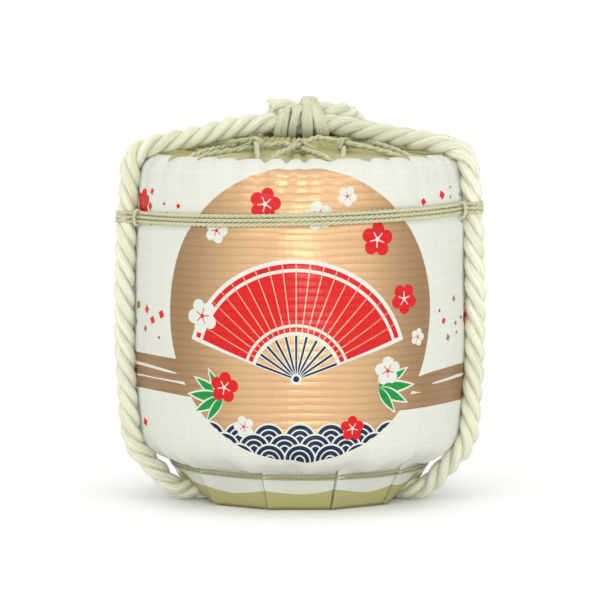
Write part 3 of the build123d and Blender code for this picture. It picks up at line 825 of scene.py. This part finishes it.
tie_start, tie_turns, tie_height, tie_radius, tie_pitch = math.radians(150), 2, 0.0423, 0.1446, 0.0036
tie_strand, tie_offset, tie_lay = 0.00080, 0.0007, 0.009
tie_turn = np.linspace(tie_start, tie_start + tie_turns * 2 * math.pi, 900)
tie_fall = tie_pitch * (tie_turn - tie_start) / (2 * math.pi)
tie_r = tie_radius - 0.55 * tie_fall + 0.0003 * np.sin(13 * tie_turn)
tie_line, tie_run = evenly(round_axis(tie_r, tie_turn, tie_height - tie_fall), 0.0014)
tie = tubes("cord_tie", laid(tie_line, tie_run, 2, tie_offset, tie_lay), tie_strand, sides=6)
# the tie cord's colours are darker than the other cords: painted shade under the overhanging bulge
tie_cord_shaded = straw_fibre("straw_cord_painted_shade", "#BDBA90", "#A5A278", "#6E6B46", 0.0006, 0.010)
tied(tie, "tie_cord", tie_cord_shaded)

# Lacing: two twisted straw cords that draw the sheet together on top, zigzag from loops near the
# edge to the middle and back, one over the other. Where they cross, a thin cord is wound round both.
loop_count, loop_step, loop_half = 5, 72, 2.5
corner_radius, crossing_radius, dip_radius, loop_radius = 60, 85, 139, 150
lacing_strand, lacing_offset, lacing_lay, lacing_step = 0.0021, 0.0011, 0.024, 0.0016
press_share = 0.6  # share of its lift that the lacing loses under a leg of the rope


def dome_at(r):
    """Height of the top at a radius, in mm."""
    return 392.1 - 0.083 * r


def on_level(azimuth, r):
    a = math.radians(azimuth)
    return Vector((r * math.sin(a), -r * math.cos(a)))


def half_turn(azimuth):
    """The same azimuth between -180 and 180."""
    return (azimuth + 180) % 360 - 180


def loop_sides(loop):
    """Two sides of a loop in the sheet's edge; the loops aren't quite evenly spaced."""
    middle = loop - 4.4 * math.sin(math.radians(2.4 * loop))
    return on_level(middle - loop_half, loop_radius), on_level(middle + loop_half, loop_radius)


def pressed(point):
    """How far the legs of the rope press the lacing down, from 0 to 1."""
    rope_reach = 16
    turn = math.atan2(point.x, -point.y)
    return max(math.exp(-((wrapped(turn - leg) * point.length / rope_reach) ** 2)) for leg in legs)


def lacing_line(first_loop, lifts):
    """Taut zigzag on the top; lifts are its heights over it, from the inner corners to the loops."""
    corners = []
    for i in range(loop_count):
        loop = first_loop + loop_step * i
        corners += [on_level(loop - loop_step / 2, corner_radius), *loop_sides(half_turn(loop))]
    # the end is tucked in under the corner where the cord begins
    corners.append(on_level(first_loop - loop_step / 2, corner_radius + 4))
    long_run, near_corner = 30, 8
    controls = []
    for before, corner, after in zip([None] + corners, corners, corners[1:] + [None]):
        if before and (before - corner).length > long_run:
            controls += [before.lerp(corner, 0.5), corner + (before - corner).normalized() * near_corner]
        controls.append(corner)
        if after and (after - corner).length > long_run:
            controls.append(corner + (after - corner).normalized() * near_corner)
    line = []
    for point in controls:
        lift = np.interp(point.length, [corner_radius, crossing_radius, dip_radius, loop_radius], lifts)
        height = dome_at(point.length) + lift * (1 - press_share * pressed(point))
        line.append((point.x, point.y, height))
    return line


lower, lower_run = evenly(smooth_line(lacing_line(162, [5.0, 3.4, 3.4, -4.0])), lacing_step)
upper, upper_run = evenly(smooth_line(lacing_line(198, [11.5, 9.4, 3.8, -4.0])), lacing_step)
lacing_cord = straw_fibre("twisted_lacing_cord", "#DEDFB6", "#BFC293", "#7C7F55", 0.0010, 0.020)
lower_strands = laid(lower, lower_run, 2, lacing_offset, lacing_lay)
lower_lacing = tubes("cord_lacing_lower", lower_strands, lacing_strand, seed=2)
tied(lower_lacing, "lower_lacing", lacing_cord)
# windings at the crossings, three and a half turns each
winding_turns, winding_half, winding_rise, winding_length, winding_share = 3.5, 0.0058, 0.0068, 0.0095, 0.55
upright = [0, 0, 1.0]
windings = []
for k in range(2 * loop_count):
    azimuth = loop_step / 2 * k - 180
    before, after = half_turn(azimuth - loop_step / 4), half_turn(azimuth + loop_step / 4)
    crossing = geometry.intersect_line_line_2d(
        loop_sides(before)[1],
        on_level(after, corner_radius),
        loop_sides(after)[0],
        on_level(before, corner_radius),
    )
    press = pressed(crossing)
    way_out = np.array([*crossing.normalized(), 0.0])
    level_way = np.array([-way_out[1], way_out[0], 0.0])
    height = dome_at(crossing.length) + 6.4 * (1 - press_share * press)
    middle = np.array([crossing.x, crossing.y, height]) / 1000
    t = np.linspace(0, winding_turns * 2 * math.pi, 80)
    coil = middle + np.outer(np.cos(t) * winding_half, level_way)
    coil += np.outer(np.sin(t) * winding_rise * (1 - 0.4 * press), upright)
    windings.append(coil + np.outer((t / t[-1] - 0.5) * winding_length, way_out))
    # the winding's cut end lies on the sheet beside it
    end_way = way_out * 0.6 + level_way * (0.8 if k % 2 else -0.8)
    tip = middle + end_way * (0.016 + 0.003 * (k % 3)) - [0, 0, 0.0030]
    windings.append(np.linspace(middle + [0, 0, 0.0050 * (1 - press)], tip, 8))
upper_strands = laid(upper, upper_run, 2, lacing_offset, lacing_lay)
upper_lacing = tubes(
    "cord_lacing_upper",
    upper_strands + windings,
    lacing_strand,
    seed=3,
    shares=[1.0] * len(upper_strands) + [winding_share] * len(windings),
)
tied(upper_lacing, "upper_lacing", lacing_cord)

# Binding rope: one thick straw rope. From its cut end in the knot it goes down the back, under the
# foot, up the left, through the knot and down the right. Three strands, 20 mm across, laid left-handed.
rope_strand, rope_offset, rope_lay = 0.0056, 0.0062, 0.066
rope_low = rope_floor * 1000
leg_places = [
    (190.7, 385.4), (194.8, 345.0), (198.8, 285.0), (201.1, 217.0), (199.6, 150.0), (195.8, 96.3),
    (193.0, 66.4), (173.0, 44.0), (158.2, 27.6), (143.6, rope_low), (121.6, rope_low),
]


def rope_leg(azimuth):
    """One leg from the corner where it bends over the shoulder to the foot."""
    a = math.radians(azimuth)
    return [(r * math.sin(a), -r * math.cos(a), z) for r, z in leg_places]


right_leg, left_leg, back_leg = [rope_leg(azimuth) for azimuth in leg_azimuths]
rope_route = [
    # cut end, behind the front pass in the knot, and down the back
    (-33, 5.0, 429.5), (-20, 8.0, 427.5), (0, 8.4, 424.2), (30, 8.4, 423.3), (51, 9, 423.0),
    (59.9, 57.7, 412.5), (72.4, 127.7, 396.5), *back_leg,
    # under the foot and up the left
    (28, 53, rope_low), (2.0, -6.0, rope_low), (-60, -26.0, rope_low), *reversed(left_leg),
    # front pass through the knot
    (-137.9, -44.8, 394.0), (-104, -30.9, 400.6), (-70, -17, 408.4), (-44, -9.0, 413.0), (-20, -8.4, 411.8),
    (20, -8.4, 411.3), (42, -8.4, 410.8), (66, -17.1, 405.8), (104, -30.9, 398.8), (137.9, -44.8, 393.2),
    # down the right to its end under the foot
    *right_leg, (60, -25.7, rope_low), (24.7, -17.9, rope_low),
]
rope_line, rope_run = evenly(smooth_line(rope_route), 0.0022)
# the band draws the strands together where it goes over a leg
on_leg = np.hypot(rope_line[:, 0], rope_line[:, 1]) > 0.17
drawn_in = 1 - 0.16 * on_leg * bell(rope_line[:, 2], band_height, 0.011)
rope_strands = laid(rope_line, rope_run, 3, rope_offset * drawn_in[:, None], rope_lay)
rope = tubes("rope_binding", rope_strands, rope_strand, sides=12, seed=4)
thick_rope = straw_fibre("laid_straw_rope", "#FBFBEA", "#E6E7C6", "#B9BB8B", 0.0020, 0.040)
tied(rope, "binding_rope", thick_rope)

# Knot: a hank of loose straw fibre wound four times on top, first round the front pass of the rope
# alone and then round both. The fibres lie side by side and aren't twisted, so each turn is a flat band.
knot_turns, knot_height, knot_end = 4, 0.4173, 0.011
wrap_offset, pass_half, wrap_pitch, wrap_half = 0.0151, 0.0103, 0.0115, 0.0051
pass_tilt = math.asin(0.006 / pass_half)  # the pass behind lies higher
tilt_cos, tilt_sin = math.cos(pass_tilt), math.sin(pass_tilt)
wrap_round = 2 * math.pi * wrap_offset + 4 * pass_half
bend_run, flat_run = math.pi * wrap_offset, 2 * pass_half


def wrap_point(along):
    """Place across the two passes after a length of winding, and the way out from them."""
    rest = along % wrap_round
    for length, part in [(bend_run, "behind"), (flat_run, "top"), (bend_run, "front"), (flat_run, "under")]:
        if rest <= length:
            break
        rest -= length
    angle = rest / wrap_offset
    if part == "behind":
        out = (math.sin(angle), -math.cos(angle))
        return (pass_half + wrap_offset * out[0], wrap_offset * out[1]), out
    if part == "top":
        return (pass_half - rest, wrap_offset), (0.0, 1.0)
    if part == "front":
        out = (-math.sin(angle), math.cos(angle))
        return (-pass_half + wrap_offset * out[0], wrap_offset * out[1]), out
    return (-pass_half + rest, -wrap_offset), (0.0, -1.0)


fibre_chance = np.random.default_rng(11)
fibre_lines = []
lanes, layers = 15, 2
for k in range(layers * lanes):
    lane = (k % lanes) / (lanes - 1) * 2 - 1
    layer = k // lanes
    phase, sway = fibre_chance.uniform(0, 6.28), fibre_chance.uniform(0.2, 0.7)
    line = []
    for along in np.linspace(-knot_end, knot_turns * wrap_round + knot_end, 300):
        (y, z), out = wrap_point(along)
        turn = along / wrap_round
        # the first turns go round the front pass alone and slip in under the other
        reach = float(ease(turn, 0.9, 2.0))
        y -= flat_run * (1 - reach) * min(1.0, max(0.0, (y + pass_half) / flat_run))
        # the two layers are crowned across the band and pile up towards the middle turns
        lift = -0.0036 + 0.0030 * layer + 0.0016 * math.sqrt(max(0.0, 1 - lane**2))
        lift += 0.0003 * math.sin(along * 140 + phase) + 0.0005 * math.sin(9.7 * turn)
        lift += 0.0014 * math.sin(math.pi * np.clip(turn / knot_turns, 0, 1))
        # the turns differ in width and lean, and the fibres sway a little
        x = wrap_pitch * (turn - knot_turns / 2) + 0.0026 * math.sin(2 * math.pi * 0.9 * turn + 0.6)
        widths = 1 + 0.22 * math.sin(2.3 * turn + 0.4) + 0.12 * math.sin(2 * math.pi * 1.7 * turn)
        x += wrap_half * widths * lane * (0.95 if layer else 1.0)
        x += 0.0005 * sway * math.sin(along * 60 + phase)
        x += 0.16 * (z + y) * math.sin(1.1 * turn + 0.3)
        y, z = y + out[0] * lift, z + out[1] * lift
        line.append((x, y * tilt_cos - z * tilt_sin, knot_height + y * tilt_sin + z * tilt_cos))
    fibre_lines.append(np.array(line))
knot = tubes("knot_wraps", fibre_lines, 0.0009, sides=6, uneven=0.08, seed=5)
loose_straw = straw_fibre("loose_straw_fibre", "#E4E4CC", "#CDCEAB", "#999B72", 0.0009, 0.03)
tied(knot, "knot_winding", loose_straw)

# Band: thin twisted cord wound three times round the upper body and over each leg of the rope.
# It is hitched round itself beside the legs, which draws the three turns together.
band_start, band_turns, band_pitch = math.radians(84), 3, 0.0046
band_strand, band_offset, band_lay = 0.0013, 0.0011, 0.012
belly_height, belly_curve = 0.217, 1.4
rope_out, over_rope, band_soft = 0.0098, 0.0112, 0.0016
band_turn = np.linspace(band_start, band_start + band_turns * 2 * math.pi, 9000)
band_done = (band_turn - band_start) / (2 * math.pi)
band_z = band_height + band_tilt * np.sin(band_turn) + band_pitch * (band_done - band_turns / 2)
body_r = belly - belly_curve + np.sqrt(belly_curve**2 - (band_z - belly_height) ** 2)
band_off = np.full_like(band_turn, 0.0023)
for leg in legs:
    # up and over the leg in a round, and down to the sheet beside it in a slope, with soft bends
    aside = np.abs(wrapped(band_turn - leg)) * (body_r + 0.012)
    over = rope_out + np.sqrt(np.clip(over_rope**2 - aside**2, 0, None))
    over = np.clip(over - 1.15 * np.clip(aside - 0.0115, 0, None), -0.05, None)
    band_off = band_soft * np.log(np.exp(band_off / band_soft) + np.exp(over / band_soft))
band_line, band_run = evenly(round_axis(body_r + band_off, band_turn, band_z), 0.0016)
band_strands = laid(band_line, band_run, 2, band_offset, band_lay)
hitch_aside, hitch_out, hitch_rise, hitch_length = 5.4, 0.0040, 0.0084, 0.0085
on_side = outline_run < shoulder
right, left, back = leg_azimuths
band_hitches = []
for azimuth in (right - hitch_aside, left + hitch_aside, back - hitch_aside, back + hitch_aside):
    a = math.radians(azimuth)
    way_out = np.array([math.sin(a), -math.cos(a), 0.0])
    level_way = np.array([math.cos(a), math.sin(a), 0.0])
    z = band_height + band_tilt * math.sin(a)
    middle = way_out * (np.interp(z, outline_z[on_side], outline_r[on_side]) + 0.0050) + [0, 0, z]
    t = np.linspace(0.5 * math.pi, 2.5 * 2 * math.pi, 90)
    coil = middle + np.outer(np.cos(t) * hitch_out, way_out) + np.outer(np.sin(t) * hitch_rise, upright)
    band_hitches.append(coil + np.outer((t / t[-1] - 0.6) * hitch_length, level_way))
thin_cord = straw_fibre("twisted_straw_cord", "#DEDCB8", "#C6C398", "#86845A", 0.0006, 0.010)
band = tubes("cord_band", band_strands + band_hitches, band_strand, sides=6, seed=6)
tied(band, "band_cord", thin_cord)

# Floor, light and camera: a pale studio floor, soft light from all round with a large lamp in
# front on each side, and a long lens that looks slightly down on the barrel.
floor_mesh = bpy.data.meshes.new("studio_floor")
floor_form = bmesh.new()
bmesh.ops.create_grid(floor_form, x_segments=1, y_segments=1, size=30.0)
floor_form.to_mesh(floor_mesh)
floor_form.free()
floor = put("studio_floor", floor_mesh)
# Matt paper, off-white, with a faint mottle.
paper, tree, shader = new_material("matt_studio_paper")
place = add(tree, "TexCoord")
mottle = add(tree, "TexNoise", {"Vector": place.outputs["Object"], "Scale": 3.0, "Detail": 2.0})
tone = add(tree, "Mix", {0: mottle, 6: linear("#F8F8F7"), 7: linear("#FBFBFB")}, data_type="RGBA")
plug(tree, shader, {"Base Color": tone.outputs[2], "Roughness": 0.9})
floor_mesh.materials.append(paper)

world = bpy.data.worlds.new("studio")
bpy.context.scene.world = world
world.use_nodes = True
world.node_tree.nodes["Background"].inputs["Color"].default_value = (1.0, 1.0, 1.0, 1.0)
world.node_tree.nodes["Background"].inputs["Strength"].default_value = 1.06
bpy.context.scene.view_settings.view_transform = "Standard"
lit_point = Vector((0, 0, 0.2))
for name, where, power, size in [
    ("front_left_lamp", (-1.4, -2.6, 1.5), 8.5, 1.2),
    ("front_right_lamp", (1.7, -2.4, 1.3), 8.0, 1.2),
    ("low_lamp", (0.2, -2.8, 0.30), 13.0, 0.7),
    ("top_lamp", (0.0, -0.2, 2.8), 6.0, 1.4),
]:
    lamp = bpy.data.lights.new(name, "AREA")
    lamp.energy = power
    lamp.size = size
    holder = put(name, lamp)
    holder.location = where
    holder.rotation_euler = (lit_point - Vector(where)).to_track_quat("-Z", "Y").to_euler()

eye_distance, eye_height, frame_width, film_width = 3.8, 0.56, 0.663, 36.0
aim = Vector((0.0, 0.0, 0.2166))
camera = put("camera", bpy.data.cameras.new("camera"))
camera.location = (0.0, -eye_distance, eye_height)
camera.rotation_euler = (aim - camera.location).to_track_quat("-Z", "Y").to_euler()
camera.data.sensor_width = film_width
camera.data.lens = film_width * (aim - camera.location).length / frame_width
bpy.context.scene.camera = camera
